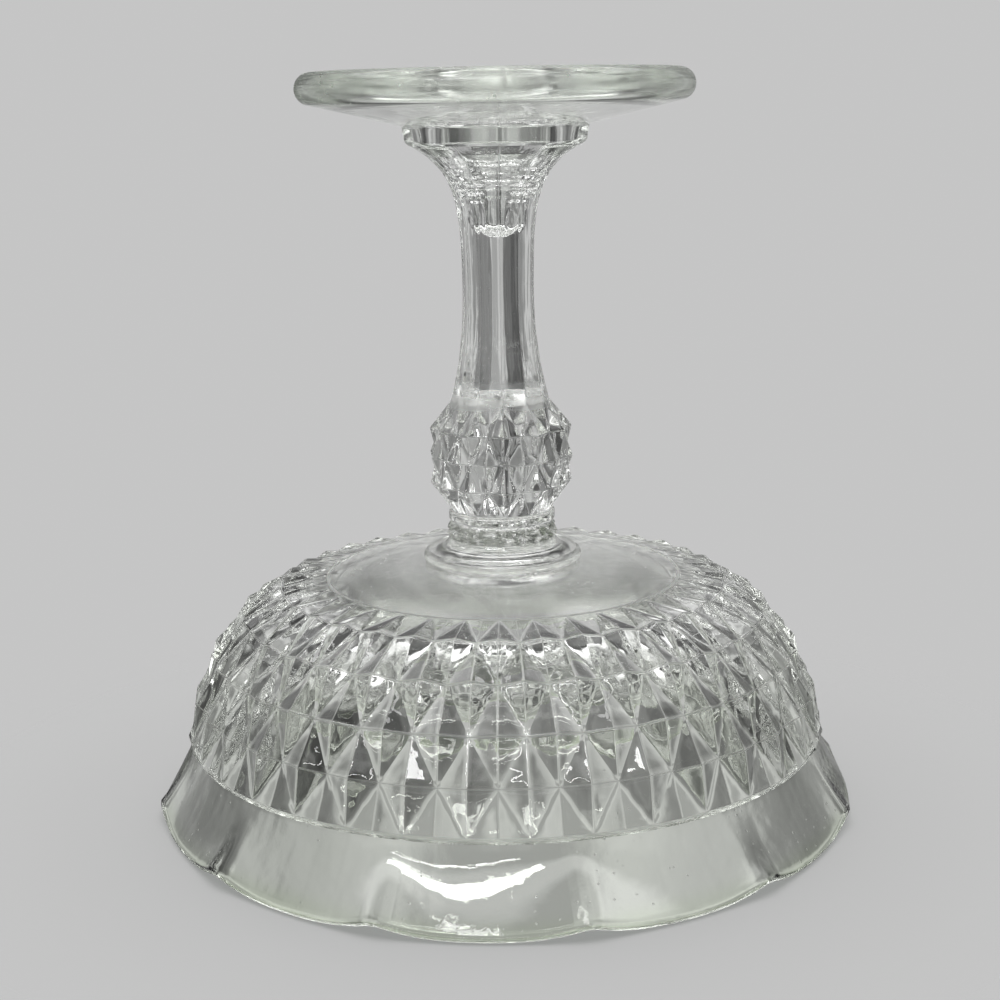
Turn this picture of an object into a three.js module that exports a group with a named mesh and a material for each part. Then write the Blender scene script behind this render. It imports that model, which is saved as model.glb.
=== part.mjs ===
// A pressed-glass compote dish: a low bowl with a scalloped rim on a panelled stem and a round foot.
// Four pressings stand one on another along z and are fused hot where their flat faces meet.
// Millimetres, +z up, origin at the centre of the foot's underside.

import * as THREE from 'three';

// Foot: a shallow cone with a thick rounded rim, a round step on top and a recess beneath
const FOOT_RADIUS = 48;
const FOOT_RIM_HEIGHT = 7.8;
const FOOT_CONE_RISE = 5.3;
const FOOT_STANDING_WIDTH = 4;
const FOOT_RECESS_SLOPE = 1.5;
const FOOT_GLASS = 5.5;
const STEP_RADIUS = 22.6;
const STEP_HEIGHT = 4.4;
const STEP_EDGE = 0.8;

// Blind hollow that runs from the recess up into the stem
const HOLLOW_MOUTH_RADIUS = 19;
const HOLLOW_JOINT_RADIUS = 13;
const HOLLOW_TIP_RADIUS = 3.2;
const HOLLOW_DEPTH = 25;

// Stem: flat panels that flare out to the foot and swell towards the knop
const PANELS = 12;
const PANEL_FADE = 8;
const STEM_SHOULDER = 0.6;
const STEM_WAIST_RADIUS = 8.7;
const STEM_WAIST_HEIGHT = 32.5;
const STEM_FLARE_DECAY = 6.4;
const STEM_SWELL_HEIGHT = 29.6;
const STEM_SWELL_POWER = 2.3;
const STEM_TOP_RADIUS = 12.2;
const STEM_TURN = -2.7;

// Knop: bands of diamond points, and the bead that ends the stem
const KNOP_BANDS = 4;
const KNOP_RADIUS = 17.9;
const KNOP_CROWN = 0.5;
const KNOP_GROOVE = 2.7;
const KNOP_HEIGHT = 27.6;
const KNOP_NECK_RADIUS = 12.6;
const BEAD_RADIUS = 13.3;
const BEAD_HEIGHT = 2.7;
const BEAD_EDGE = 0.6;

// Wafer: the flared button of glass that joins the stem to the bowl
const WAFER_RADIUS = 19.9;
const WAFER_HEIGHT = 10.7;
const WAFER_EDGE = 1.6;

// Bowl: a smooth base, then diamond points that stand on a rounded side, smooth inside
const DIAMONDS = 36;
const DIAMOND_BANDS = 5;
const DIAMOND_RELIEF = 4.2;
const SMOOTH_BASE_RADIUS = 44;
const BODY_RADIUS = 79.1;
const BODY_HEIGHT = 42.7;
const BODY_GLASS = 5;
const BASE_REACH = 56.2;
const BASE_RISE = 7.6;
const SIDE_LEAN = 10.8;
const SIDE_DROP = 19.6;
const BOWL_TURN = 1.4;

// Rim: a plain flare above the body, drawn out and down at each cusp between two scallops
const SCALLOPS = 12;
const RIM_RADIUS = 87.6;
const FLARE_HEIGHT = 16.6;
const FLARE_GLASS = 3;
const FLARE_CURVE = 1.2;
const CUSP_REACH = 1.2;
const CUSP_DROP = 2.6;
const CUSP_SHARPNESS = 3;
const CUSP_FADE = 2;
const CUSP_TURN = 17.5;

// Facets
const LATHE_SEGMENTS = 48;
const EDGE_STEPS = 6;
const TIP_STEPS = 3;
const HOLLOW_STEPS = 6;
const STEM_FLARE_STEPS = 12;
const STEM_SWELL_STEPS = 6;
const BASE_STEPS = 3;
const INSIDE_STEPS = 10;
const RIM_FLARE_STEPS = 4;
const RIM_EDGE_STEPS = 4;
const BODY_SAMPLES = 200;

// Heights of the joints, from the table up
const footTop = FOOT_RIM_HEIGHT + FOOT_CONE_RISE + STEP_HEIGHT;
const waistHeight = footTop + STEM_WAIST_HEIGHT;
const knopBottom = waistHeight + STEM_SWELL_HEIGHT;
const knopTop = knopBottom + KNOP_HEIGHT;
const stemTop = knopTop + BEAD_HEIGHT;
const bowlBottom = stemTop + WAFER_HEIGHT;
const bodyTop = bowlBottom + BODY_HEIGHT;

// Radii shared by the pieces that meet at a joint
const stepTopRadius = STEP_RADIUS - STEP_EDGE;
const stemBaseRadius = stepTopRadius - STEM_SHOULDER;
const beadTopRadius = BEAD_RADIUS - BEAD_EDGE;

const RIGHT_ANGLE = Math.PI / 2;

// A point of a profile: x is the radius, y the height
function at(radius, height) {
  return new THREE.Vector2(radius, height);
}

function glass(name, geometry) {
  const material = new THREE.MeshStandardMaterial({ color: 0xe3eae4, roughness: 0.05, metalness: 0 });
  const mesh = new THREE.Mesh(geometry, material);
  mesh.name = name;
  return mesh;
}

// Turns a closed profile round the z axis
function turned(profile) {
  const geometry = new THREE.LatheGeometry(profile.getPoints(EDGE_STEPS), LATHE_SEGMENTS);
  return geometry.rotateX(RIGHT_ANGLE);
}

// A loop of points round the axis; place(angle, column) gives the profile point of each column
function loop(columns, place) {
  return Array.from({ length: columns }, (_, column) => {
    const angle = (2 * Math.PI * column) / columns;
    const { x: radius, y: height } = place(angle, column);
    return new THREE.Vector3(radius * Math.sin(angle), -radius * Math.cos(angle), height);
  });
}

// A single point on the axis, which closes a stack of loops
function pole(height) {
  return [new THREE.Vector3(0, 0, height)];
}

// Closed surface through a stack of loops; folded(row, column) picks the diagonal of each cell
function skin(loops, folded) {
  const starts = [];
  const points = [];
  for (const ring of loops) {
    starts.push(points.length);
    points.push(...ring);
  }
  const faces = [];
  const addFace = (...corners) => {
    if (new Set(corners).size === 3) faces.push(...corners);
  };
  for (let row = 0; row + 1 < loops.length; row++) {
    const columns = Math.max(loops[row].length, loops[row + 1].length);
    const corner = (ring, column) => {
      const count = loops[ring].length;
      return starts[ring] + (Math.floor((column * count) / columns) % count);
    };
    for (let column = 0; column < columns; column++) {
      const a = corner(row, column);
      const b = corner(row, column + 1);
      const c = corner(row + 1, column + 1);
      const d = corner(row + 1, column);
      if (folded(row, column)) {
        addFace(a, b, c);
        addFace(a, c, d);
      } else {
        addFace(a, b, d);
        addFace(b, c, d);
      }
    }
  }
  const geometry = new THREE.BufferGeometry().setFromPoints(points);
  geometry.setIndex(faces);
  geometry.computeVertexNormals();
  return geometry;
}

// Outward normal of a profile that climbs on its outer side
function outward(tangent) {
  return at(tangent.y, -tangent.x).normalize();
}

// A turned foot: its rim is a half-round, its cone and recess run parallel, its step seats the stem
function buildFoot() {
  const edge = FOOT_RIM_HEIGHT / 2;
  const rimInner = FOOT_RADIUS - edge;
  const standingInner = rimInner - FOOT_STANDING_WIDTH;
  const recessInner = standingInner - FOOT_RECESS_SLOPE;
  const coneTop = FOOT_RIM_HEIGHT + FOOT_CONE_RISE;
  const coneSlope = Math.atan2(FOOT_CONE_RISE, rimInner - STEP_RADIUS);
  const recessDrop = FOOT_GLASS / Math.cos(coneSlope);
  const recessHeight = (radius) => coneTop - recessDrop - Math.tan(coneSlope) * (radius - STEP_RADIUS);
  const mouthHeight = recessHeight(HOLLOW_MOUTH_RADIUS);

  const profile = new THREE.Path();
  profile.moveTo(standingInner, 0);
  profile.lineTo(rimInner, 0);
  profile.absarc(rimInner, edge, edge, -RIGHT_ANGLE, RIGHT_ANGLE - coneSlope);
  profile.lineTo(STEP_RADIUS, coneTop);
  profile.lineTo(STEP_RADIUS, footTop - STEP_EDGE);
  profile.absarc(stepTopRadius, footTop - STEP_EDGE, STEP_EDGE, 0, RIGHT_ANGLE);
  profile.lineTo(HOLLOW_JOINT_RADIUS, footTop);
  profile.quadraticCurveTo(HOLLOW_JOINT_RADIUS, mouthHeight, HOLLOW_MOUTH_RADIUS, mouthHeight);
  profile.lineTo(recessInner, recessHeight(recessInner));
  profile.lineTo(standingInner, 0);
  return glass('foot', turned(profile));
}

// Radius of the stem over its panel edges: a flare that dies away upwards, then a slow swell
function stemRadius(height) {
  const flare = (stemBaseRadius - STEM_WAIST_RADIUS) * Math.exp(-(height - footTop) / STEM_FLARE_DECAY);
  const climb = Math.max(height - waistHeight, 0) / STEM_SWELL_HEIGHT;
  const swell = (STEM_TOP_RADIUS - STEM_WAIST_RADIUS) * climb ** STEM_SWELL_POWER;
  return STEM_WAIST_RADIUS + flare + swell;
}

// Hollow, panelled shaft, knop and bead are one pressing
function buildStem() {
  const columns = 2 * PANELS;
  const panelDip = 1 - Math.cos(Math.PI / PANELS);
  const round = (radius, height) => loop(columns, () => at(radius, height));
  const panelled = (height) => {
    const flatness = THREE.MathUtils.smoothstep(height - footTop, 0, PANEL_FADE);
    const radius = stemRadius(height);
    return loop(columns, (_, column) => at(radius * (1 - (column % 2) * flatness * panelDip), height));
  };
  const loops = [pole(footTop + HOLLOW_DEPTH)];

  // Hollow: a round tip, then a wall that opens towards the foot
  const tipMiddle = footTop + HOLLOW_DEPTH - HOLLOW_TIP_RADIUS;
  for (let step = 1; step < TIP_STEPS; step++) {
    const turn = (RIGHT_ANGLE * step) / TIP_STEPS;
    loops.push(round(HOLLOW_TIP_RADIUS * Math.sin(turn), tipMiddle + HOLLOW_TIP_RADIUS * Math.cos(turn)));
  }
  for (let step = 0; step <= HOLLOW_STEPS; step++) {
    const share = step / HOLLOW_STEPS;
    const radius = THREE.MathUtils.lerp(HOLLOW_TIP_RADIUS, HOLLOW_JOINT_RADIUS, share ** 2);
    loops.push(round(radius, THREE.MathUtils.lerp(tipMiddle, footTop, share)));
  }

  // Panels: flat between two edges, fading into the round flare near the foot
  for (let step = 0; step < STEM_FLARE_STEPS; step++) {
    loops.push(panelled(footTop + STEM_WAIST_HEIGHT * (step / STEM_FLARE_STEPS) ** 2));
  }
  for (let step = 0; step < STEM_SWELL_STEPS; step++) {
    loops.push(panelled(waistHeight + (STEM_SWELL_HEIGHT * step) / STEM_SWELL_STEPS));
  }

  // Knop: corners lie deep on every other column, points stand out between them
  const firstBand = loops.length;
  const middleBand = KNOP_BANDS / 2;
  loops.push(panelled(knopBottom));
  for (let band = 1; band < KNOP_BANDS; band++) {
    const height = knopBottom + (KNOP_HEIGHT * band) / KNOP_BANDS;
    const point = KNOP_RADIUS - KNOP_CROWN * (band - middleBand) ** 2;
    const corner = point - KNOP_GROOVE;
    loops.push(loop(columns, (_, column) => at((band + column) % 2 === 0 ? corner : point, height)));
  }
  loops.push(round(KNOP_NECK_RADIUS, knopTop));
  const folded = (row, column) => (row - firstBand + column) % 2 === 0;

  loops.push(round(BEAD_RADIUS, knopTop + BEAD_EDGE));
  loops.push(round(BEAD_RADIUS, stemTop - BEAD_EDGE));
  loops.push(round(beadTopRadius, stemTop));
  loops.push(pole(stemTop));
  const stem = glass('stem', skin(loops, folded));
  stem.rotation.z = THREE.MathUtils.degToRad(STEM_TURN);
  return stem;
}

// A trumpet-shaped button with a rounded lip, flat where it meets the stem and the bowl
function buildWafer() {
  const lipInner = WAFER_RADIUS - WAFER_EDGE;
  const lipMiddle = bowlBottom - WAFER_EDGE;
  const lipBottom = lipMiddle - WAFER_EDGE;
  const profile = new THREE.Path();
  profile.moveTo(0, stemTop);
  profile.lineTo(beadTopRadius, stemTop);
  profile.quadraticCurveTo(beadTopRadius, lipBottom, lipInner, lipBottom);
  profile.absarc(lipInner, lipMiddle, WAFER_EDGE, -RIGHT_ANGLE, RIGHT_ANGLE);
  profile.lineTo(0, bowlBottom);
  return glass('wafer', turned(profile));
}

// Nearness to a cusp: 0 in the middle of a scallop, 1 at the cusps beside it
function cuspShare(angle) {
  const turn = angle - THREE.MathUtils.degToRad(CUSP_TURN);
  const place = THREE.MathUtils.euclideanModulo((turn * SCALLOPS) / (2 * Math.PI), 1);
  return Math.abs(2 * place - 1) ** CUSP_SHARPNESS;
}

// Outer face of the flare, from the body (share 0) to the rim (share 1)
function flareOuter(share, angle) {
  const cusp = cuspShare(angle) * share ** CUSP_FADE;
  const radius = BODY_RADIUS + (RIM_RADIUS - BODY_RADIUS) * share ** FLARE_CURVE + CUSP_REACH * cusp;
  const height = bodyTop + FLARE_HEIGHT * share - CUSP_DROP * cusp;
  return at(radius, height);
}

// Body, flare and rim are one pressing; the glass is measured square to the outer face
function buildBowl() {
  const columns = 2 * DIAMONDS;
  const flareColumns = 2 * columns;
  const round = (point) => loop(columns, () => point);

  // Profile under the diamond points, from the seat on the wafer to the top of the body
  const body = new THREE.CubicBezierCurve(
    at(WAFER_RADIUS, bowlBottom),
    at(WAFER_RADIUS + BASE_REACH, bowlBottom + BASE_RISE),
    at(BODY_RADIUS - SIDE_LEAN, bodyTop - SIDE_DROP),
    at(BODY_RADIUS, bodyTop),
  );
  const offset = (share, distance) => {
    const normal = outward(body.getTangentAt(share));
    return body.getPointAt(share).addScaledVector(normal, distance);
  };

  // Smooth base, up to the circle where the pattern starts
  const samples = body.getSpacedPoints(BODY_SAMPLES);
  const patternStart = samples.findIndex((point) => point.x >= SMOOTH_BASE_RADIUS) / BODY_SAMPLES;
  const loops = [pole(bowlBottom)];
  for (let step = 0; step < BASE_STEPS; step++) {
    loops.push(round(offset((patternStart * step) / BASE_STEPS, 0)));
  }

  // Diamonds: corners lie on the profile, points stand out between them, both ends run out smooth
  const firstBand = loops.length;
  for (let band = 0; band <= DIAMOND_BANDS; band++) {
    const share = THREE.MathUtils.lerp(patternStart, 1, band / DIAMOND_BANDS);
    const relief = band === 0 || band === DIAMOND_BANDS ? 0 : DIAMOND_RELIEF;
    const corner = offset(share, 0);
    const point = offset(share, relief);
    loops.push(loop(columns, (_, column) => ((band + column) % 2 === 0 ? corner : point)));
  }
  const folded = (row, column) => (row - firstBand + column) % 2 === 0;

  // Flare, half-round rim, and the flare again on the inside
  const along = at(RIM_RADIUS - BODY_RADIUS, FLARE_HEIGHT).normalize();
  const across = outward(along);
  const edge = FLARE_GLASS / 2;
  for (let step = 1; step <= RIM_FLARE_STEPS; step++) {
    loops.push(loop(flareColumns, (angle) => flareOuter(step / RIM_FLARE_STEPS, angle)));
  }
  for (let step = 1; step < RIM_EDGE_STEPS; step++) {
    const turn = (Math.PI * step) / RIM_EDGE_STEPS;
    const shift = along.clone().multiplyScalar(edge * Math.sin(turn));
    shift.addScaledVector(across, edge * (Math.cos(turn) - 1));
    loops.push(loop(flareColumns, (angle) => flareOuter(1, angle).add(shift)));
  }
  for (let step = RIM_FLARE_STEPS; step >= 0; step--) {
    const share = step / RIM_FLARE_STEPS;
    loops.push(loop(flareColumns, (angle) => flareOuter(share, angle).addScaledVector(across, -FLARE_GLASS)));
  }

  // Smooth inside: the profile moved in by the glass
  for (let step = INSIDE_STEPS - 1; step >= 0; step--) {
    const share = step / INSIDE_STEPS;
    loops.push(round(offset(share, -THREE.MathUtils.lerp(BODY_GLASS, FLARE_GLASS, share))));
  }
  loops.push(pole(bowlBottom + BODY_GLASS));
  const bowl = glass('bowl', skin(loops, folded));
  bowl.rotation.z = THREE.MathUtils.degToRad(BOWL_TURN);
  return bowl;
}

const compote = new THREE.Group();
compote.name = 'compote_dish';
compote.add(buildFoot(), buildStem(), buildWafer(), buildBowl());

export default compote;
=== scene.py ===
import math

import bpy
import numpy as np
from mathutils import Matrix, Vector


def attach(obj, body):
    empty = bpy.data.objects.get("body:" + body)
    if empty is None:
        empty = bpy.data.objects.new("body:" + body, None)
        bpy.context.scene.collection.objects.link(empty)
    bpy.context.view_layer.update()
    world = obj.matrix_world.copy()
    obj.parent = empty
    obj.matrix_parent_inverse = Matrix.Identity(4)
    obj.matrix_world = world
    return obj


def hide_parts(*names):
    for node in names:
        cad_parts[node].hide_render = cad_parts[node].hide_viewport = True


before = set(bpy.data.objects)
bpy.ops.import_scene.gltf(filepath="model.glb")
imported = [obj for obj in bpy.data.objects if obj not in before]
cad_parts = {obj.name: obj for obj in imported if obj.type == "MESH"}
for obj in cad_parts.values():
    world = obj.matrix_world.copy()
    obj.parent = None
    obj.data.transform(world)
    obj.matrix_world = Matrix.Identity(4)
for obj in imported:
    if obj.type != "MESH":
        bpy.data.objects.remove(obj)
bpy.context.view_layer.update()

# Foot: a pressed disc of clear glass with a thick rounded rim, a shallow cone and a round step.
# Its underside is recessed inside a standing ring, and a hollow opens upwards from the recess.
# The stem is fused to the top of the step while both are hot.
MM = 0.001
FULL_TURN = 2 * math.pi
FOOT_RIM = 3.9
FOOT_RIM_MIDDLE = 44.1
FOOT_RIM_POINTS = 25
STANDING_INNER = 40.1
STANDING_EASE = 0.5
RECESS_INNER = 38.6
RECESS_MIDDLE = 24
RECESS_EASE = 1.2
CONE_MIDDLE = 34
CONE_TOP = 13.1
CONE_EASE = 0.4
FOOT_GLASS = 5.5
STEP_RADIUS = 22.6
STEP_TOP = 22.05
STEP_SHOULDER = 0.75
STEP_EASE = 0.6
FOOT_TOP = 17.5
STEM_SEAT = 21.2
SEAT_POINTS = 3
HOLLOW_MOUTH = 19.0
HOLLOW_JOINT = 13.0
HOLLOW_POINTS = 16
SEAM_TURN = math.radians(-2.7)
SEAM_HEIGHT = 0.16
SEAM_WIDTH = 0.3
SEAMS = 3
STEM_COLUMNS = 24
CELL_STEPS = np.array([0, 0.025, 0.05, 0.17, 0.34, 0.5, 0.66, 0.83, 0.95, 0.975])


def cell_marks(cells):
    """Places along a row of cells, close together beside each cell's edges, where the glass turns
    sharply."""
    return (np.arange(cells)[:, None] + CELL_STEPS).ravel()


def around(radius, height, angle):
    """Points at a radius, height and angle, in millimetres and radians: x = radius sin(angle) and
    y = -radius cos(angle), so angle 0 faces -y and grows towards +x."""
    radius, height, angle = np.broadcast_arrays(radius, height, angle)
    return np.stack([radius * np.sin(angle), -radius * np.cos(angle), height], -1)


def seam(angle, radius):
    """Height of the mould's seam lines: a narrow bell, exp(-(d / width)^2), at distance d from
    each of three lines."""
    pitch = FULL_TURN / SEAMS
    away = (angle - SEAM_TURN + pitch / 2) % pitch - pitch / 2
    return SEAM_HEIGHT * np.exp(-((away * radius / SEAM_WIDTH) ** 2))


def bent(start, bend, end, count):
    """Points on a curve drawn towards a bend: start (1 - t)^2 + 2 bend t (1 - t) + end t^2."""
    start, bend, end = (np.asarray(place, float) for place in (start, bend, end))
    t = np.linspace(0, 1, count)[:, None]
    return start * (1 - t) ** 2 + 2 * bend * t * (1 - t) + end * t ** 2


def arc(middle, height, radius, turn):
    """Round edge of a profile: (middle + radius cos(turn), height + radius sin(turn))."""
    return np.stack([middle + radius * np.cos(turn), height + radius * np.sin(turn)], 1)


def eased(corners, count=7, support=1.7):
    """Profile through corners (radius, height, ease). A corner with an ease is bent from that far
    before it to that far after it, with one more point further out on each side."""
    corners = np.array(corners, float)
    places, eases = corners[:, :2], corners[:, 2]
    out = []
    for k, (place, ease) in enumerate(zip(places, eases)):
        if ease == 0 or k in (0, len(places) - 1):
            out.append(place[None])
            continue
        back, on = ((p - place) / np.linalg.norm(p - place) for p in places[[k - 1, k + 1]])
        curve = bent(place + ease * back, place, place + ease * on, count)
        before, after = (place + ease * support * way for way in (back, on))
        out += [before[None], curve, after[None]]
    return np.concatenate(out)


def skin(rings, folded=None, closed=False, crests=None):
    """Triangles between each ring of points and the next. A cell is cut from its first corner
    where folded says so, a ring with fewer points is shared out evenly, and a ring of one point
    is a pole. Crests, by number of the ring, go to the rings that have them."""
    counts = [len(ring) for ring in rings]
    starts = np.cumsum([0] + counts)
    faces = []
    for row in range(len(rings) if closed else len(rings) - 1):
        below, above = row, (row + 1) % len(rings)
        columns = max(counts[below], counts[above])
        k = np.arange(columns + 1)
        low = starts[below] + (k * counts[below] // columns) % counts[below]
        high = starts[above] + (k * counts[above] // columns) % counts[above]
        a, b, c, d = low[:-1], low[1:], high[1:], high[:-1]
        fold = np.zeros(columns, bool) if folded is None else folded(row, k[:-1])
        faces.append(np.where(fold, (a, b, c), (a, b, d)).T)
        faces.append(np.where(fold, (a, c, d), (b, c, d)).T)
    faces = np.concatenate(faces)
    whole = (faces != np.roll(faces, 1, 1)).all(1)
    crests = crests or {}
    crest = [np.broadcast_to(crests.get(row, 0.0), len(ring)) for row, ring in enumerate(rings)]
    return np.concatenate(rings), faces[whole], np.concatenate(crest)


class Signal:
    """An output of a node in a material. Arithmetic on signals adds Math nodes to the material."""

    def __init__(self, tree, socket=None):
        self.tree, self.socket = tree, socket

    def node(self, kind, settings=None, inputs=None, output=0):
        """Adds a node: its settings first, then the value or link of each socket, and gives one
        output."""
        made = self.tree.nodes.new(kind)
        for key, value in (settings or {}).items():
            if key == "stops":
                ramp = made.color_ramp.elements
                for position, grey in value:
                    ends = {0: ramp[0], 1: ramp[-1]}
                    stop = ends[position] if position in ends else ramp.new(position)
                    stop.color = (grey, grey, grey, 1)
            else:
                setattr(made, key, value)
        for key, value in (inputs or {}).items():
            if isinstance(value, Signal):
                self.tree.links.new(value.socket, made.inputs[key])
            else:
                made.inputs[key].default_value = value
        return Signal(self.tree, made.outputs[output] if len(made.outputs) else None)

    def math(self, operation, *values):
        return self.node("ShaderNodeMath", {"operation": operation}, dict(enumerate(values)))

    def __add__(self, other):
        return self.math("ADD", self, other)

    def __sub__(self, other):
        return self.math("SUBTRACT", self, other)

    def __rsub__(self, other):
        return self.math("SUBTRACT", other, self)

    def __mul__(self, other):
        return self.math("MULTIPLY", self, other)

    __radd__ = __add__
    __rmul__ = __mul__

    def over(self, low, high, bottom=0.0, top=1.0):
        """Goes smoothly from bottom at low to top at high."""
        return self.node("ShaderNodeMapRange", {"interpolation_type": "SMOOTHSTEP"}, {
            "Value": self, "From Min": low, "From Max": high, "To Min": bottom, "To Max": top})


def blend(share, first, second):
    """Colour that goes from first to second as share goes from 0 to 1."""
    return share.node("ShaderNodeMix", {"data_type": "RGBA"}, {0: share, 6: first, 7: second}, 2)


def new_tree(material):
    material.use_nodes = True
    material.node_tree.nodes.clear()
    return Signal(material.node_tree)


GLASS_INDEX = 1.52
GLASS_SHADOW = (0.9, 0.91, 0.9, 1)
CREST_WEAR = 0.5
TINT_AND_SHADE_CLOUDS = (0.2, 0.8, 0.7, 1.0)
WAVE_SIZE = 5.0
WAVE_DEPTH = 0.12
WAVIER_DEPTH = 0.3
CHILL_SIZE = 1.6
CHILL_DEPTH = 0.02
SMEAR_SIZE = 14.0
SMEARS = (0.45, 0.75, 0.0, 0.05)
FILM_CLOUDS = (0.3, 0.6)
FILM_LEAST = 0.6
SPECK_SIZE = 2.6
SPECK_EDGE = (0.16, 0.05)
DUST_CLOUDS = (0.5, 0.62)
DUST_WEAR = 0.35
DUST_DEPTH = 0.05
STREAK_SIZE = 1.4
STREAK_STRETCH = (1, 1, 0.04)


def pressed_glass(name, clear, thick_and_shade, tint_and_shade_mask, ripple, ripple_size,
                  filmed=None, film=0.0, wavy=None, drawn=None):
    """Pressed glass. Its bump has slow ripples and shorter waves left by the mould, fine chill
    marks, dust and upright streaks; its roughness has smears, dust and the wear of the piece's
    crests. Given the distance off the axis, the height and the chill marks, four functions say
    where the glass turns to its second colour (the green of thick glass, and on the wafer's neck a
    painted shade), where a film dulls it, where the mould left it wavier, and how deep it is
    streaked where it was drawn out."""
    made = bpy.data.materials.new(name)
    tree = new_tree(made)
    place = tree.node("ShaderNodeTexCoord", output="Object")

    def scaled(by):
        return tree.node("ShaderNodeVectorMath", {"operation": "MULTIPLY"}, {0: place, 1: by})

    def noise(size, detail, roughness=0.55, vector=place):
        return tree.node("ShaderNodeTexNoise", None, {
            "Vector": vector, "Scale": 1 / (size * MM), "Detail": detail, "Roughness": roughness})

    reach = tree.node("ShaderNodeVectorMath", {"operation": "LENGTH"},
                      {0: scaled((1, 1, 0))}, "Value")
    off_axis = reach * (1 / MM)
    height = tree.node("ShaderNodeSeparateXYZ", None, {0: place}, "Z") * (1 / MM)
    ripples = noise(ripple_size, 1.0)
    waves = noise(WAVE_SIZE, 1.0)
    chill = noise(CHILL_SIZE, 2.0)
    smears = noise(SMEAR_SIZE, 3.0)
    specks = tree.node("ShaderNodeTexVoronoi", None, {
        "Vector": place, "Scale": 1 / (SPECK_SIZE * MM)})
    dust = specks.over(*SPECK_EDGE) * smears.over(*DUST_CLOUDS)
    crest = tree.node("ShaderNodeAttribute", {"attribute_name": "crest"}, output="Fac")
    spot = (off_axis, height, chill)
    # The second colour is the green of thick glass, and on the wafer's neck a painted shade.
    colour = blend(tint_and_shade_mask(*spot) * ripples.over(*TINT_AND_SHADE_CLOUDS), clear, thick_and_shade)
    roughness = smears.over(*SMEARS) + dust * DUST_WEAR + crest * CREST_WEAR
    if filmed:
        roughness = roughness + filmed(*spot) * smears.over(*FILM_CLOUDS, FILM_LEAST * film, film)
    depth = wavy(*spot) * WAVIER_DEPTH + WAVE_DEPTH if wavy else WAVE_DEPTH
    relief = ripples + waves * depth + chill * CHILL_DEPTH + dust * DUST_DEPTH
    if drawn:
        relief = relief + noise(STREAK_SIZE, 1.0, 0.5, scaled(STREAK_STRETCH)) * drawn(*spot)
    bump = tree.node("ShaderNodeBump", None, {
        "Strength": 1.0, "Distance": ripple * MM, "Height": relief})
    glass = tree.node("ShaderNodeBsdfPrincipled", None, {
        "Base Color": colour, "Roughness": roughness, "Normal": bump,
        "IOR": GLASS_INDEX, "Transmission Weight": 1.0})
    passing = tree.node("ShaderNodeBsdfTransparent", None, {"Color": GLASS_SHADOW})
    shadow_ray = tree.node("ShaderNodeLightPath", output="Is Shadow Ray")
    mixed = tree.node("ShaderNodeMixShader", None, {0: shadow_ray, 1: glass, 2: passing})
    tree.node("ShaderNodeOutputMaterial", None, {"Surface": mixed})
    return made


def fused_face():
    """Where two hot pieces have become one there is no surface to see, so light goes straight
    through."""
    made = bpy.data.materials.new("fused_face")
    tree = new_tree(made)
    clear = tree.node("ShaderNodeBsdfTransparent")
    tree.node("ShaderNodeOutputMaterial", None, {"Surface": clear})
    return made


FUSED = fused_face()
FUSED_SLACK = 1e-4
CREASE = math.radians(21)


def glass_piece(name, points, faces, crest, glass, welds):
    """Makes the mesh of a piece, in metres, and gives the fused faces (a height and the radius
    they reach) no surface. Crest, from 0 to 1 at each point, is kept for the material."""
    mesh = bpy.data.meshes.new(name)
    mesh.from_pydata(points * MM, [], faces)
    kept_crest = mesh.attributes.new("crest", "FLOAT", "POINT")
    kept_crest.data.foreach_set("value", np.asarray(crest, np.float32))
    mesh.materials.append(glass)
    mesh.materials.append(FUSED)
    corner = points[faces]
    reach = np.hypot(corner[..., 0], corner[..., 1]).max(1)
    fused = np.zeros(len(faces), bool)
    for height, radius in welds:
        level = np.abs(corner[..., 2] - height).max(1) < FUSED_SLACK
        fused |= level & (reach < radius + FUSED_SLACK)
    mesh.polygons.foreach_set("material_index", fused.astype(np.int32))
    mesh.polygons.foreach_set("use_smooth", np.ones(len(faces), bool))
    mesh.set_sharp_from_angle(angle=CREASE)
    mesh.update()
    made = bpy.data.objects.new(name, mesh)
    bpy.context.scene.collection.objects.link(made)
    return made


def foot_rings(angle):
    """The foot's profile turned about the axis: standing ring, half-round rim, cone, step, hollow
    and recess. The seam lines run over the outside as far as the stem's seat."""
    slope = math.atan2(CONE_TOP - 2 * FOOT_RIM, FOOT_RIM_MIDDLE - STEP_RADIUS)
    drop = FOOT_GLASS / math.cos(slope)

    def recess(radius):
        return CONE_TOP - drop - math.tan(slope) * (radius - STEP_RADIUS)

    turn = np.linspace(-math.pi / 2, math.pi / 2 - slope, FOOT_RIM_POINTS)[1:]
    rim = arc(FOOT_RIM_MIDDLE, FOOT_RIM, FOOT_RIM, turn)
    top = eased([(FOOT_RIM_MIDDLE, 0, 0),
                 *np.column_stack([rim, np.zeros_like(turn)]),
                 (CONE_MIDDLE, recess(CONE_MIDDLE) + drop, 0),
                 (STEP_RADIUS, CONE_TOP, CONE_EASE),
                 (STEP_TOP, FOOT_TOP - STEP_SHOULDER, STEP_EASE),
                 (STEM_SEAT, FOOT_TOP, 0)])
    mouth = (HOLLOW_MOUTH, recess(HOLLOW_MOUTH))
    hollow = bent((HOLLOW_JOINT, FOOT_TOP), (HOLLOW_JOINT, mouth[1]), mouth, HOLLOW_POINTS)
    under = eased([(*mouth, 0),
                   (RECESS_MIDDLE, recess(RECESS_MIDDLE), 0),
                   (RECESS_INNER, recess(RECESS_INNER), RECESS_EASE),
                   (STANDING_INNER, 0, STANDING_EASE),
                   (FOOT_RIM_MIDDLE, 0, 0)])[1:-1]
    profile = np.concatenate([top, hollow, under])
    raised = (np.arange(len(profile)) < len(top) - SEAT_POINTS)[:, None]
    radius, height = profile[:, :1], profile[:, 1:]
    return list(around(radius + raised * seam(angle, radius), height, angle))


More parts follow.
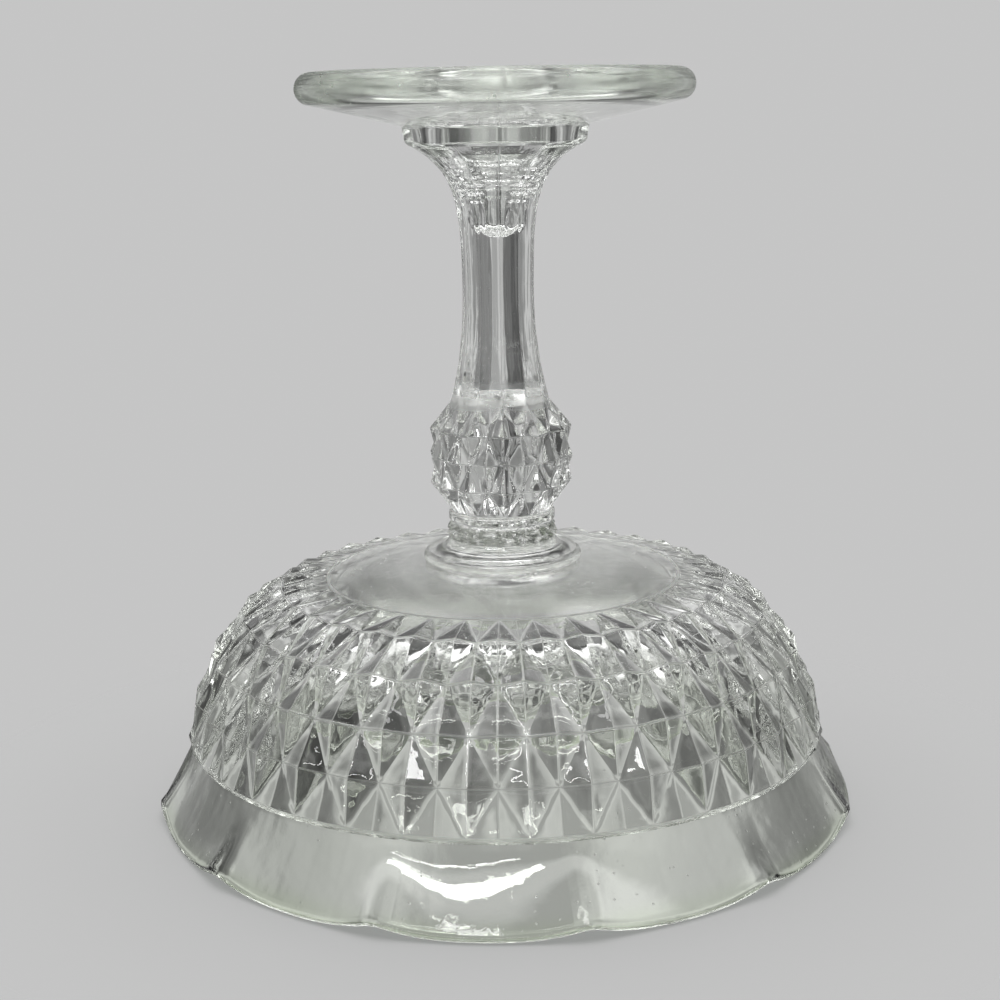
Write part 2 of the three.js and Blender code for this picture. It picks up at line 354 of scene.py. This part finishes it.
FOOT_CLEAR = (0.94, 0.955, 0.93, 1)
FOOT_THICK = (0.82, 0.9, 0.78, 1)
FOOT_TINT = (40, 48)
FOOT_RIPPLE = (0.25, 30)
FOOT_FILM = 0.35
WORN_RING = (0.9, 0.2)
DULL_RIM = (44.5, 46.5)
DULL_RIM_SHARE = 0.45

stem_angles = SEAM_TURN + cell_marks(STEM_COLUMNS) * FULL_TURN / STEM_COLUMNS
foot_glass = glass_piece(
    "foot_glass", *skin(foot_rings(stem_angles), closed=True),
    pressed_glass(
        "foot_clear_glass", FOOT_CLEAR, FOOT_THICK,
        lambda off_axis, height, chill: off_axis.over(*FOOT_TINT),
        *FOOT_RIPPLE,
        lambda off_axis, height, chill: (
            height.over(*WORN_RING) + off_axis.over(*DULL_RIM) * DULL_RIM_SHARE),
        FOOT_FILM),
    [(FOOT_TOP, STEM_SEAT)])
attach(foot_glass, "root")
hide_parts("foot")

# Stem: one pressing of clear glass, a shaft of twelve flat panels that flares down to the foot.
# It swells upwards into a knop of diamond points and ends in a plain bead.
# A blind hollow runs up into it from the foot; it is fused to the foot below and the wafer above.
WAIST_RADIUS = 8.7
WAIST_HEIGHT = 50.0
FLARE_DECAY = 6.4
SWELL_HEIGHT = 29.6
SWELL_POWER = 2.3
STEM_NECK = 12.2
PANEL_FADE = 4.5
PANEL_TURN = FULL_TURN / 12
PANEL_FLATNESS = 0.85
PANEL_EDGE = np.radians((-1.2, -0.6, 0, 0.6, 1.2))
PANEL_ROWS = (44, 22)
HOLLOW_TIP = 4.6
HOLLOW_TOP = 39.5
HOLLOW_ROWS = (9, 60)
PLUNGER_RING = 0.24
PLUNGER_RINGS = 8
HOLLOW_LUMP = 0.45
HOLLOW_WAVES = ((1, 3, 0.5), (0.7, 5, 2), (0.5, 8, 4))
KNOP_BOTTOM = 79.6
KNOP_TOP = 107.2
KNOP_BANDS = 4
KNOP_RADIUS = 18.3
KNOP_CROWN = 0.5
KNOP_GROOVE = 2.1
KNOP_ROUGH = 0.08
KNOP_NECK = 12.6
BEAD_RADIUS = 13.3
BEAD_STEP = 0.5
BEAD_EASES = (0.35, 0.7)
BEAD_TOP = 12.7
BEAD_SEAT = 12.5
STEM_TOP = 109.9
EDGE_SHARE = 0.05
WEAR_SHARE = 0.03
UPRIGHT_WEAR = 0.6
rough_mould = np.random.default_rng(17)


def pole(height):
    """The one point where a skin closes on the axis."""
    return np.array([[0, 0, height]])


def round_waves(angle, *parts):
    """Sum of waves round the axis, each depth x sin(count x angle + start)."""
    return sum(depth * np.sin(count * angle + start) for depth, count, start in parts)


def on_line(marks):
    """1 on a whole mark, falling to 0 at a share of a cell beside it."""
    return np.maximum(1 - np.abs(marks - np.round(marks)) / WEAR_SHARE, 0)


def facets(lattice, row, column):
    """Flat facets on a lattice of points (bands, columns, 3). Each cell is folded along the valley
    between its two deep corners A and D:
    P = A (1 - max(u, v)) + D min(u, v) + B max(u - v, 0) + C max(v - u, 0)."""
    bands, columns = lattice.shape[:2]
    row = np.clip(row, 0, bands - 1)
    i = np.minimum(np.floor(row).astype(int), bands - 2)
    j = np.floor(column).astype(int)
    odd = (i + j) % 2 == 1
    v = (row - i)[..., None]
    u = np.where(odd, 1 - (column - j), column - j)[..., None]
    near, far = np.where(odd, j + 1, j) % columns, np.where(odd, j, j + 1) % columns
    a, b, c, d = lattice[i, near], lattice[i, far], lattice[i + 1, near], lattice[i + 1, far]
    flat = a * (1 - np.maximum(u, v)) + d * np.minimum(u, v)
    return flat + b * np.maximum(u - v, 0) + c * np.maximum(v - u, 0)


def facet_rings(lattice, first=0):
    """Points over a lattice's facets, from a first row on, and the crest along its lines. Each is
    the mean over a small square of places, which rounds the sharp edges as hot glass does."""
    bands, columns = len(lattice) - 1, lattice.shape[1]
    rows = np.append(cell_marks(bands), bands)[first:]
    row, column = np.meshgrid(rows, cell_marks(columns), indexing="ij")
    taps = np.linspace(-EDGE_SHARE, EDGE_SHARE, 5)
    total = sum(facets(lattice, row + r, column + c) for r in taps for c in taps)
    crests = np.maximum(on_line(row), UPRIGHT_WEAR * on_line(column))
    return total / len(taps) ** 2, list(crests)


def valley_folds(first, bands):
    """Says which cells of a skin are cut from their first corner: every other cell of the facets
    that start at a ring, so that the cuts lie along the valleys."""
    steps = len(CELL_STEPS)

    def folded(row, column):
        if first <= row < first + bands * steps:
            return ((row - first) // steps + column // steps) % 2 == 0
        return np.zeros(len(column), bool)
    return folded


def stem_radius(height):
    """Radius over the panel edges:
    waist + flare exp(-height / decay) + swell (climb above the waist)^power."""
    flare = (STEM_SEAT - WAIST_RADIUS) * np.exp(-(height - FOOT_TOP) / FLARE_DECAY)
    climb = np.maximum(height - WAIST_HEIGHT, 0) / SWELL_HEIGHT
    return WAIST_RADIUS + flare + (STEM_NECK - WAIST_RADIUS) * climb ** SWELL_POWER


def panel_rings(height, angle):
    """Stem's outside: radius (1 - flatness (1 - cos half / cos off)), off being the angle from the
    panel's middle. The mean over a few close angles rounds the panel edges; flatness and the seam
    lines fade in above the foot."""
    height = height[:, None]
    fade = np.clip((height - FOOT_TOP) / PANEL_FADE, 0, 1)
    flatness = PANEL_FLATNESS * fade * fade * (3 - 2 * fade)
    half = PANEL_TURN / 2
    off = [(angle + turn - SEAM_TURN) % PANEL_TURN - half for turn in PANEL_EDGE]
    flat = sum(math.cos(half) / np.cos(turn) for turn in off) / len(off)
    radius = stem_radius(height)
    panels = radius * (1 - flatness * (1 - flat))
    return list(around(panels + fade * seam(angle, radius), height, angle))


def knop_rings():
    """Knop: points stand on a crowned profile and corners lie a groove deeper; facets join them,
    and the mould's seam lines run over them. Its first row is the top of the panels."""
    column, band = np.meshgrid(np.arange(STEM_COLUMNS), np.arange(KNOP_BANDS + 1))
    point = KNOP_RADIUS - KNOP_CROWN * (band - KNOP_BANDS / 2) ** 2
    radius = np.where((band + column) % 2 == 0, point - KNOP_GROOVE, point)
    radius[0] = np.where(column[0] % 2 == 0, STEM_NECK, STEM_NECK * math.cos(PANEL_TURN / 2))
    radius[-1] = KNOP_NECK
    radius[1:-1] += rough_mould.normal(0, KNOP_ROUGH, radius[1:-1].shape)
    height = KNOP_BOTTOM + (KNOP_TOP - KNOP_BOTTOM) * band / KNOP_BANDS
    lattice = around(radius, height, SEAM_TURN + column * FULL_TURN / STEM_COLUMNS)
    points, crests = facet_rings(lattice, 1)
    reach = np.hypot(points[..., 0], points[..., 1])
    grown = 1 + seam(np.arctan2(points[..., 0], -points[..., 1]), reach) / reach
    return list(points * np.stack([grown, grown, np.ones_like(grown)], -1)), crests


def stem_skin(angle):
    """Hollow from its lumpy tip down, its wall marked by the plunger's turned rings, then the seat
    on the foot, panels, knop, bead and the seat of the wafer."""
    few = angle[::2]
    lump = HOLLOW_LUMP * round_waves(few, *HOLLOW_WAVES)
    tip_middle = HOLLOW_TOP - HOLLOW_TIP
    turn = np.linspace(0, math.pi / 2, HOLLOW_ROWS[0])[1:-1, None]
    tip = (HOLLOW_TIP + lump * np.sin(turn)) * np.sin(turn)
    share = np.linspace(0, 1, HOLLOW_ROWS[1])[:, None]
    wall = HOLLOW_TIP + (HOLLOW_JOINT - HOLLOW_TIP) * share ** 2
    turned = np.sin(FULL_TURN * PLUNGER_RINGS * share) * np.sin(math.pi * share) ** 2
    wall = wall + PLUNGER_RING * turned + lump * (1 - share) ** 4
    rings = [pole(HOLLOW_TOP)]
    rings += list(around(tip, tip_middle + HOLLOW_TIP * np.cos(turn), few))
    rings += list(around(wall, tip_middle + (FOOT_TOP - tip_middle) * share, few))

    panels_from = len(rings)
    climb = np.linspace(0, 1, PANEL_ROWS[0], endpoint=False)
    flare = FOOT_TOP + (WAIST_HEIGHT - FOOT_TOP) * climb ** 2
    swell = np.linspace(WAIST_HEIGHT, KNOP_BOTTOM, PANEL_ROWS[1])
    rings += panel_rings(np.concatenate([flare, swell]), angle)
    panel_crest = on_line(cell_marks(STEM_COLUMNS) / 2)
    crests = {row: panel_crest for row in range(panels_from, len(rings))}

    knop_from = len(rings) - 1
    knop, knop_crests = knop_rings()
    crests.update(enumerate(knop_crests, len(rings)))
    rings += knop
    bead = eased([(KNOP_NECK, KNOP_TOP, 0),
                  (BEAD_RADIUS, KNOP_TOP + BEAD_STEP, BEAD_EASES[0]),
                  (BEAD_RADIUS, STEM_TOP, BEAD_EASES[1]),
                  (BEAD_SEAT, STEM_TOP, 0)])[1:-1]
    radius, height = bead[:, :1], bead[:, 1:]
    rings += list(around(radius + seam(angle, radius), height, angle))
    rings += [around(BEAD_SEAT, STEM_TOP, angle), pole(STEM_TOP)]
    return skin(rings, valley_folds(knop_from, KNOP_BANDS), crests=crests)


STEM_CLEAR = (0.955, 0.965, 0.95, 1)
STEM_THICK = (0.92, 0.94, 0.9, 1)
STEM_TINT = (12, 22)
STEM_RIPPLE = (0.2, 9)
STEM_FILM = 0.3
FROST_START = (76.5, 78.5)
FROST_END = (82, 80.5)
DRAWN_END = (79, 76)
DRAWN_DEPTH = 0.6

stem_glass = glass_piece(
    "stem_glass", *stem_skin(stem_angles),
    pressed_glass(
        "stem_clear_glass", STEM_CLEAR, STEM_THICK,
        lambda off_axis, height, chill: off_axis.over(*STEM_TINT),
        *STEM_RIPPLE,
        lambda off_axis, height, chill: height.over(*FROST_START) * height.over(*FROST_END),
        STEM_FILM,
        drawn=lambda off_axis, height, chill: height.over(*DRAWN_END) * DRAWN_DEPTH),
    [(FOOT_TOP, STEM_SEAT), (STEM_TOP, BEAD_TOP)])
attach(stem_glass, "root")
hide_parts("stem")

# Wafer: the trumpet-shaped button of hot glass that joins the stem to the bowl.
# Its narrow neck keeps the pebbled chill of the tool that squeezed it; its lip is round and smooth.
# It is fused to the bead of the stem and to the bowl's base. The pebbled band of its neck is
# darkened with painted shade in its colour, standing in for the shade the clear glass shows there.
WAFER_LIP = 1.6
WAFER_LIP_MIDDLE = 18.3
WAFER_ROWS = (44, 17)
WAFER_COLUMNS = 480
SEAM_STOP = 1
BOWL_BOTTOM = 120.6
PEBBLE_FROM = 110.5
PEBBLE_TO = 114.2
PEBBLE_HEIGHT = 1.2
PEBBLE_LEVEL = 0.4
PEBBLE_BULGE = 0.45
PEBBLES = 38


def wafer_rings():
    """Bent neck, half-round lip, and a band of pebbles: crossed waves in angle and height, each
    wave bent by slower ones so that no two pebbles are alike."""
    angle = SEAM_TURN + np.arange(WAFER_COLUMNS) * FULL_TURN / WAFER_COLUMNS
    lip_bottom = BOWL_BOTTOM - 2 * WAFER_LIP
    neck = bent((BEAD_SEAT, STEM_TOP), (BEAD_TOP, lip_bottom), (WAFER_LIP_MIDDLE, lip_bottom),
                WAFER_ROWS[0])
    turn = np.linspace(-math.pi / 2, math.pi / 2, WAFER_ROWS[1])[1:]
    lip = arc(WAFER_LIP_MIDDLE, BOWL_BOTTOM - WAFER_LIP, WAFER_LIP, turn)
    profile = np.concatenate([neck, lip])
    radius, height = profile[:, :1], profile[:, 1:]
    climb = (height - PEBBLE_FROM) / (PEBBLE_TO - PEBBLE_FROM)
    inside = (climb > 0) & (climb < 1)
    window = np.where(inside, np.sin(math.pi * np.clip(climb, 0, 1)) ** 0.5, 0)
    wander = round_waves(angle, (1.3, 7, 5 * climb), (0.9, 13, 1 - 4 * climb))
    pebble = np.abs(np.sin(PEBBLES / 2 * angle + wander))
    pebble = pebble * np.abs(np.sin(FULL_TURN * climb + round_waves(angle, (0.8, 11, 0))))
    swelling = window * (PEBBLE_BULGE + PEBBLE_HEIGHT * (pebble - PEBBLE_LEVEL))
    swelling = swelling + seam(angle, radius) * (BOWL_BOTTOM - height > SEAM_STOP)
    return [pole(STEM_TOP), *around(radius + swelling, height, angle), pole(BOWL_BOTTOM)]


WAFER_CLEAR = (0.95, 0.96, 0.94, 1)
# Painted shade: a near-black colour laid into the pebbled band of the neck, where the chill noise
# is high.
WAFER_PAINTED_SHADE = (0.05, 0.065, 0.035, 1)
WAFER_RIPPLE = (0.08, 14)
NECK_START = (110, 111)
NECK_END = (115, 113.8)
NECK_SHADE_MOTTLE = (0.36, 0.52)

# The wafer's second colour is painted shade on the neck's pebbled band, not the green of thick
# glass.
wafer_glass = glass_piece(
    "wafer_glass", *skin(wafer_rings()),
    pressed_glass(
        "wafer_clear_glass", WAFER_CLEAR, WAFER_PAINTED_SHADE,
        lambda off_axis, height, chill: (
            height.over(*NECK_START) * height.over(*NECK_END) * chill.over(*NECK_SHADE_MOTTLE)),
        *WAFER_RIPPLE),
    [(STEM_TOP, BEAD_TOP), (BOWL_BOTTOM, WAFER_LIP_MIDDLE)])
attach(wafer_glass, "root")
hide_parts("wafer")

# Bowl: one pressing of clear glass, with a smooth base, rows of diamond points and a smooth inside.
# The plain flare above them was reheated and worked into twelve scallops, so its edge is round and
# a little uneven. The base is fused to the wafer.
WAFER_RADIUS = 19.9
BOWL_TURN = math.radians(1.4)
DIAMOND_COLUMNS = 72
DIAMOND_BANDS = 5
DIAMOND_ROUGH = 0.06
BASE_STAND = 1.5
BASE_ROWS = 22
CORNER_STANDS = np.array([BASE_STAND, 3.3, 2.4, 2.0, 2.0, 1.3])
POINT_STANDS = np.array([BASE_STAND, 4.4, 4.3, 4.2, 4.2, 2.0])
SMOOTH_BASE = 44.0
BODY_RADIUS = 79.1
BODY_TOP = 163.3
BODY_GLASS = 5.0
BODY_ROWS = 36
BODY_BENDS = np.array([
    (WAFER_RADIUS, BOWL_BOTTOM), (76.1, 128.2), (68.3, 143.7), (BODY_RADIUS, BODY_TOP)])
RIM_RADIUS = 87.6
RIM_ROWS = 11
FLARE_HEIGHT = 16.6
FLARE_GLASS = 3.0
FLARE_CURVE = 1.2
FLARE_ROWS = (20, 19)
FLARE_WAVES = ((0.5, 5, 0.7), (0.35, 11, 2.1))
SCALLOPS = 12
CUSP_REACH = 1.2
CUSP_DROP = 2.6
CUSP_TURN = math.radians(18.9)
CUSP_GROWTH = 1.6
FRONT_SAG = 3.2
BACK_RISE = 0.3
SAG_GROWTH = 1.5
LEDGE_SHARE = 0.05


def body_profile(share, distance):
    """Radius and height on the cubic curve under the diamond points, by share of its length, moved
    square to itself by a distance; and the share at which the smooth base ends."""
    t = np.linspace(0, 1, 2001)[:, None]
    a, b, c, d = BODY_BENDS
    curve = a * (1 - t) ** 3 + 3 * b * t * (1 - t) ** 2 + 3 * c * t ** 2 * (1 - t) + d * t ** 3
    slope = np.gradient(curve, axis=0)
    length = np.concatenate([[0], np.cumsum(np.hypot(*np.diff(curve, axis=0).T))])
    outward = np.stack([slope[:, 1], -slope[:, 0]], 1) / np.hypot(*slope.T)[:, None]
    along = np.asarray(share) * length[-1]
    radius, height = (np.interp(along, length, curve[:, k])
                      + distance * np.interp(along, length, outward[:, k]) for k in (0, 1))
    return radius, height, np.interp(SMOOTH_BASE, curve[:, 0], length / length[-1])


def flare_points(share, angle):
    """Radius and height outside the flare: it leans out by share^1.2 and each cusp,
    |2 p - 1|^3 share^1.6 at place p in a scallop, is drawn out and down. The working of the rim
    left the front hanging out further and slow waves all round."""
    place = ((angle - CUSP_TURN) * SCALLOPS / FULL_TURN) % 1
    cusp = np.abs(2 * place - 1) ** 3 * share ** CUSP_GROWTH
    sag = FRONT_SAG * np.maximum(np.cos(angle), 0) ** 3 - BACK_RISE
    wave = round_waves(angle, *FLARE_WAVES)
    radius = BODY_RADIUS + (RIM_RADIUS - BODY_RADIUS) * share ** FLARE_CURVE + CUSP_REACH * cusp
    radius = radius + sag * share ** SAG_GROWTH + wave * share * (1 - share)
    return radius, BODY_TOP + FLARE_HEIGHT * share - CUSP_DROP * cusp


def diamond_rings(start):
    """Corners and points stand off the body's profile by a distance for each band, from the share
    where the base ends. The first band runs out smooth, and the last is cut off square, so it ends
    in a low ledge round the foot of the flare."""
    column, band = np.meshgrid(np.arange(DIAMOND_COLUMNS), np.arange(DIAMOND_BANDS + 1))
    stand = np.where((band + column) % 2 == 0, CORNER_STANDS[band], POINT_STANDS[band])
    rough = rough_mould.normal(0, DIAMOND_ROUGH, band.shape)
    stand = stand + rough * ((band > 0) & (band < DIAMOND_BANDS))
    radius, height, _ = body_profile(start + (1 - start) * band / DIAMOND_BANDS, stand)
    angle = BOWL_TURN + column * FULL_TURN / DIAMOND_COLUMNS
    return facet_rings(around(radius, height, angle))


def bowl_skin():
    """Base from the axis out, diamonds, flare, half-round rim, the flare's inside, and the smooth
    inside to the axis."""
    angle = BOWL_TURN + cell_marks(DIAMOND_COLUMNS) * FULL_TURN / DIAMOND_COLUMNS
    few = angle[::2]
    start = body_profile(0, 0)[2]
    rise = np.linspace(0, 1, BASE_ROWS)[:-1, None]
    radius, height, _ = body_profile(start * rise, BASE_STAND * rise ** 3)
    rings = [pole(BOWL_BOTTOM), around(WAFER_LIP_MIDDLE, BOWL_BOTTOM, few)]
    rings += list(around(radius, height, few))
    diamonds_from = len(rings)
    diamonds, crests = diamond_rings(start)
    crests = dict(enumerate(crests, diamonds_from))
    rings += list(diamonds)

    share = np.linspace(LEDGE_SHARE, 1, FLARE_ROWS[0])[:, None]
    rings += list(around(*flare_points(share, few), few))
    lean = np.array([RIM_RADIUS - BODY_RADIUS, FLARE_HEIGHT])
    lean = lean / math.hypot(*lean)
    out = np.array([lean[1], -lean[0]])
    turn = np.linspace(0, math.pi, RIM_ROWS)[1:-1, None]
    edge_out, edge_up = (
        FLARE_GLASS / 2 * (lean[k] * np.sin(turn) + out[k] * (np.cos(turn) - 1)) for k in (0, 1))
    radius, height = flare_points(1.0, few)
    rings += list(around(radius + edge_out, height + edge_up, few))

    share = np.linspace(1, 0, FLARE_ROWS[1])[:, None]
    radius, height = flare_points(share, few)
    rings += list(around(radius - FLARE_GLASS * out[0], height - FLARE_GLASS * out[1], few))
    share = np.linspace(1, 0, BODY_ROWS)[1:, None]
    glass = BODY_GLASS + (FLARE_GLASS - BODY_GLASS) * share
    radius, height, _ = body_profile(share, -glass)
    rings += [*around(radius, height, few), pole(BOWL_BOTTOM + BODY_GLASS)]
    return skin(rings, valley_folds(diamonds_from, DIAMOND_BANDS), crests=crests)


BOWL_CLEAR = (0.955, 0.965, 0.945, 1)
BOWL_THICK = (0.86, 0.93, 0.78, 1)
BOWL_RIPPLE = (0.3, 26)
BODY_TINT = (56, 78)
BODY_TINT_SHARE = 0.4
LIP_TINT = (177, 180)
LIP_TINT_SHARE = 0.6
BASE_FILM = 0.14
FILM_START = (18.4, 19.6)
FILM_END = (45, 38)
WAVY_START = (44, 50)
WAVY_END = (163, 160)

bowl_glass = glass_piece(
    "bowl_glass", *bowl_skin(),
    pressed_glass(
        "bowl_clear_glass", BOWL_CLEAR, BOWL_THICK,
        lambda off_axis, height, chill: (
            off_axis.over(*BODY_TINT) * BODY_TINT_SHARE + height.over(*LIP_TINT) * LIP_TINT_SHARE),
        *BOWL_RIPPLE,
        lambda off_axis, height, chill: off_axis.over(*FILM_END) * off_axis.over(*FILM_START),
        BASE_FILM,
        lambda off_axis, height, chill: height.over(*WAVY_END) * off_axis.over(*WAVY_START)),
    [(BOWL_BOTTOM, WAFER_LIP_MIDDLE)])
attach(bowl_glass, "root")
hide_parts("bowl")

# Stage: a pale sheet under the rim, on which the dish is photographed upside down, and one under
# the foot. Each shows only its lit side, lets the lamps through, and takes the dish's shadow. The
# floor falls back a little, so the photograph's camera sees only its clear back.
PALE = 0.56
SHEET = 1.0
TABLE_HEIGHT = 182.1
TABLE_FADE = (0.1, 0.18)
FLOOR_FALL = 0.0225
FLOOR_FADE = (0.12, 0.3)


def pale_sheet(name, height, up, fall, fade):
    """A flat square facing up or down, plain pale and dull, that falls away behind the front of
    the foot; its back and its shadow are clear, and away from the dish it fades into the
    backdrop."""
    made = bpy.data.materials.new(name)
    tree = new_tree(made)
    dull = tree.node("ShaderNodeBsdfDiffuse", None, {"Color": (PALE, PALE, PALE, 1)})
    clear = tree.node("ShaderNodeBsdfTransparent")
    back = tree.node("ShaderNodeNewGeometry", output="Backfacing")
    shadow_ray = tree.node("ShaderNodeLightPath", output="Is Shadow Ray")
    place = tree.node("ShaderNodeTexCoord", output="Object")
    away = tree.node("ShaderNodeVectorMath", {"operation": "DISTANCE"},
                     {0: place, 1: (0, 0, height * MM)}, "Value")
    hidden = tree.math("MAXIMUM", tree.math("MAXIMUM", back, shadow_ray), away.over(*fade))
    mixed = tree.node("ShaderNodeMixShader", None, {0: hidden, 1: dull, 2: clear})
    tree.node("ShaderNodeOutputMaterial", None, {"Surface": mixed})
    corners = np.array([(-1, -1), (1, -1), (1, 1), (-1, 1)]) * SHEET / 2
    level = height * MM - fall * (corners[:, 1] + FOOT_RIM_MIDDLE * MM)
    mesh = bpy.data.meshes.new(name)
    mesh.from_pydata(np.column_stack([corners, level]), [], [(0, 1, 2, 3) if up else (3, 2, 1, 0)])
    mesh.materials.append(made)
    sheet = bpy.data.objects.new(name, mesh)
    sheet.visible_diffuse = sheet.visible_glossy = sheet.visible_transmission = False
    bpy.context.scene.collection.objects.link(sheet)


pale_sheet("table_sheet", TABLE_HEIGHT, False, 0.0, TABLE_FADE)
pale_sheet("floor_sheet", 0.0, True, FLOOR_FALL, FLOOR_FADE)

# Light: one broad soft lamp for each sheet, and softboxes and rings of light that only the glass
# sees. The room beyond them is pale at the dish's level and darker away from it, which draws the
# edges of the glass.
LAMP_SPREAD = math.radians(70)
LAMP_LEAN = math.radians(8)
SHEET_LIGHT = math.pi


def sheet_lamp(name, turn):
    """A broad lamp far off that gives a white sheet a brightness of one."""
    lamp = bpy.data.lights.new(name, "SUN")
    lamp.energy = SHEET_LIGHT
    lamp.angle = LAMP_SPREAD
    made = bpy.data.objects.new(name, lamp)
    made.rotation_euler = (turn, 0, 0)
    made.visible_glossy = made.visible_transmission = False
    bpy.context.scene.collection.objects.link(made)


sheet_lamp("floor_lamp", LAMP_LEAN)
sheet_lamp("table_lamp", LAMP_LEAN + math.pi)

DISH_MIDDLE = Vector((0, 0, 0.1))


def softbox(name, place, width, height, brightness):
    """A rectangle of light at a place, facing the dish, with a brightness where one is white."""
    lamp = bpy.data.lights.new(name, "AREA")
    lamp.shape = "RECTANGLE"
    lamp.size, lamp.size_y = width, height
    lamp.energy = brightness * math.pi * width * height
    made = bpy.data.objects.new(name, lamp)
    facing = (Vector(place) - DISH_MIDDLE).to_track_quat("Z", "Y").to_matrix().to_4x4()
    made.matrix_world = Matrix.Translation(place) @ facing
    made.visible_diffuse = made.visible_camera = False
    bpy.context.scene.collection.objects.link(made)


# The strip and the line draw the two curved highlights on the flare, and the short line its lip.
softbox("front_strip", (0.24, -0.818, -0.66), 0.9, 0.05, 16.0)
softbox("front_line", (0.31, -0.907, -0.564), 0.8, 0.014, 14.0)
softbox("lip_line", (0.167, -0.721, -0.717), 0.195, 0.014, 9.0)

RING_RADIUS = 420.0
RING_WIDTH = 34.0
RING_SIDES = 96
RING_BRIGHTNESS = 6.0
RING_LEVELS = {"foot": -850, "rim": 1050}
OVERHEAD_SIZE = 0.35
OVERHEAD_BACK = 0.1
OVERHEAD_BRIGHTNESS = 1.0


def ring_light(name, level):
    """A flat glowing ring round the axis, a width across its band, that only the glass sees."""
    made = bpy.data.materials.new(name)
    tree = new_tree(made)
    glow = tree.node("ShaderNodeEmission", None, {"Strength": RING_BRIGHTNESS})
    tree.node("ShaderNodeOutputMaterial", None, {"Surface": glow})
    turn = np.arange(RING_SIDES) * FULL_TURN / RING_SIDES
    edges = [around(RING_RADIUS + side * RING_WIDTH / 2, level, turn) for side in (-1, 1)]
    points, faces, _ = skin(edges)
    mesh = bpy.data.meshes.new(name)
    mesh.from_pydata(points * MM, [], faces)
    mesh.materials.append(made)
    ring = bpy.data.objects.new(name, mesh)
    ring.visible_camera = ring.visible_diffuse = ring.visible_shadow = False
    bpy.context.scene.collection.objects.link(ring)


for side, level in RING_LEVELS.items():
    ring_light(side + "_ring_light", level)
    softbox(side + "_overhead", (0.0, OVERHEAD_BACK, level * MM), OVERHEAD_SIZE, OVERHEAD_SIZE,
            OVERHEAD_BRIGHTNESS)

FLAG_STOPS = ((0, 0.07), (0.1, 0.07), (0.42, 0.54), (0.6, 0.54), (0.88, 0.2), (1, 0.2))
FLAG_START = math.pi / 8
FLAG_TURN = math.pi / 4
SLAT_TURN = math.pi / 30
SLAT_SHADE = (0.3, 0.7, 0.7, 1.1)
LOW_STOPS = ((0, 1), (0.46, 1), (0.54, 0), (1, 0))
HIGH_STOPS = ((0, 0), (0.46, 0), (0.54, 0.05), (0.64, 0.05),
              (0.69, 1), (0.77, 1), (0.82, 0.08), (1, 0.08))
HIGH_BRIGHTNESS = 2.0

room = bpy.data.worlds.new("room")
room.cycles.sampling_method = "NONE"
bpy.context.scene.world = room
tree = new_tree(room)
camera_ray = tree.node("ShaderNodeLightPath", output="Is Camera Ray")
diffuse_ray = tree.node("ShaderNodeLightPath", output="Is Diffuse Ray")
direction = tree.node("ShaderNodeTexCoord", output="Generated")
across, along, level = (
    tree.node("ShaderNodeSeparateXYZ", None, {0: direction}, axis) for axis in "XYZ")
heading = tree.math("ARCTAN2", across, along)
off_flag = tree.math("PINGPONG", heading - FLAG_START, FLAG_TURN) * (1 / FLAG_TURN)
off_slat = tree.math("PINGPONG", heading, SLAT_TURN) * (1 / SLAT_TURN)
flags = tree.node("ShaderNodeValToRGB", {"stops": FLAG_STOPS}, {0: off_flag})
flags = flags * off_slat.over(*SLAT_SHADE)
away = tree.math("ABSOLUTE", level)
low = tree.node("ShaderNodeValToRGB", {"stops": LOW_STOPS}, {0: away})
high = tree.node("ShaderNodeValToRGB", {"stops": HIGH_STOPS}, {0: away})
glass_sees = flags * low + high * HIGH_BRIGHTNESS
seen = camera_ray * PALE + (1 - camera_ray) * (1 - diffuse_ray) * glass_sees
backdrop = tree.node("ShaderNodeBackground", None, {"Color": (1, 1, 1, 1), "Strength": seen})
tree.node("ShaderNodeOutputWorld", None, {"Surface": backdrop})

# Camera: at the photograph's viewing angle, level with the foot and close to the dish. The
# photograph shows the dish upside down on its rim, so the camera is rolled half a turn. Light is
# followed through as many walls of glass as one line of sight meets.
LENS = 64.72
SENSOR = 36
NEAREST = 0.01
CAMERA_EYE = Vector((0, -0.44192, 0.00802))
CAMERA_AIM = Vector((0.000448, 0, 0.10542))
CAMERA_ROLL = math.pi - 0.017

camera = bpy.data.objects.new("camera", bpy.data.cameras.new("camera"))
camera.data.lens = LENS
camera.data.sensor_width = SENSOR
camera.data.clip_start = NEAREST
facing = (CAMERA_AIM - CAMERA_EYE).to_track_quat("-Z", "Y").to_matrix().to_4x4()
roll = Matrix.Rotation(CAMERA_ROLL, 4, "Z")
camera.matrix_world = Matrix.Translation(CAMERA_EYE) @ facing @ roll
bpy.context.scene.collection.objects.link(camera)
bpy.context.scene.camera = camera

scene = bpy.context.scene
scene.view_settings.view_transform = "Standard"
scene.cycles.max_bounces = 28
scene.cycles.transmission_bounces = 28
scene.cycles.glossy_bounces = 20
scene.cycles.transparent_max_bounces = 48
scene.cycles.caustics_reflective = False
scene.cycles.caustics_refractive = False
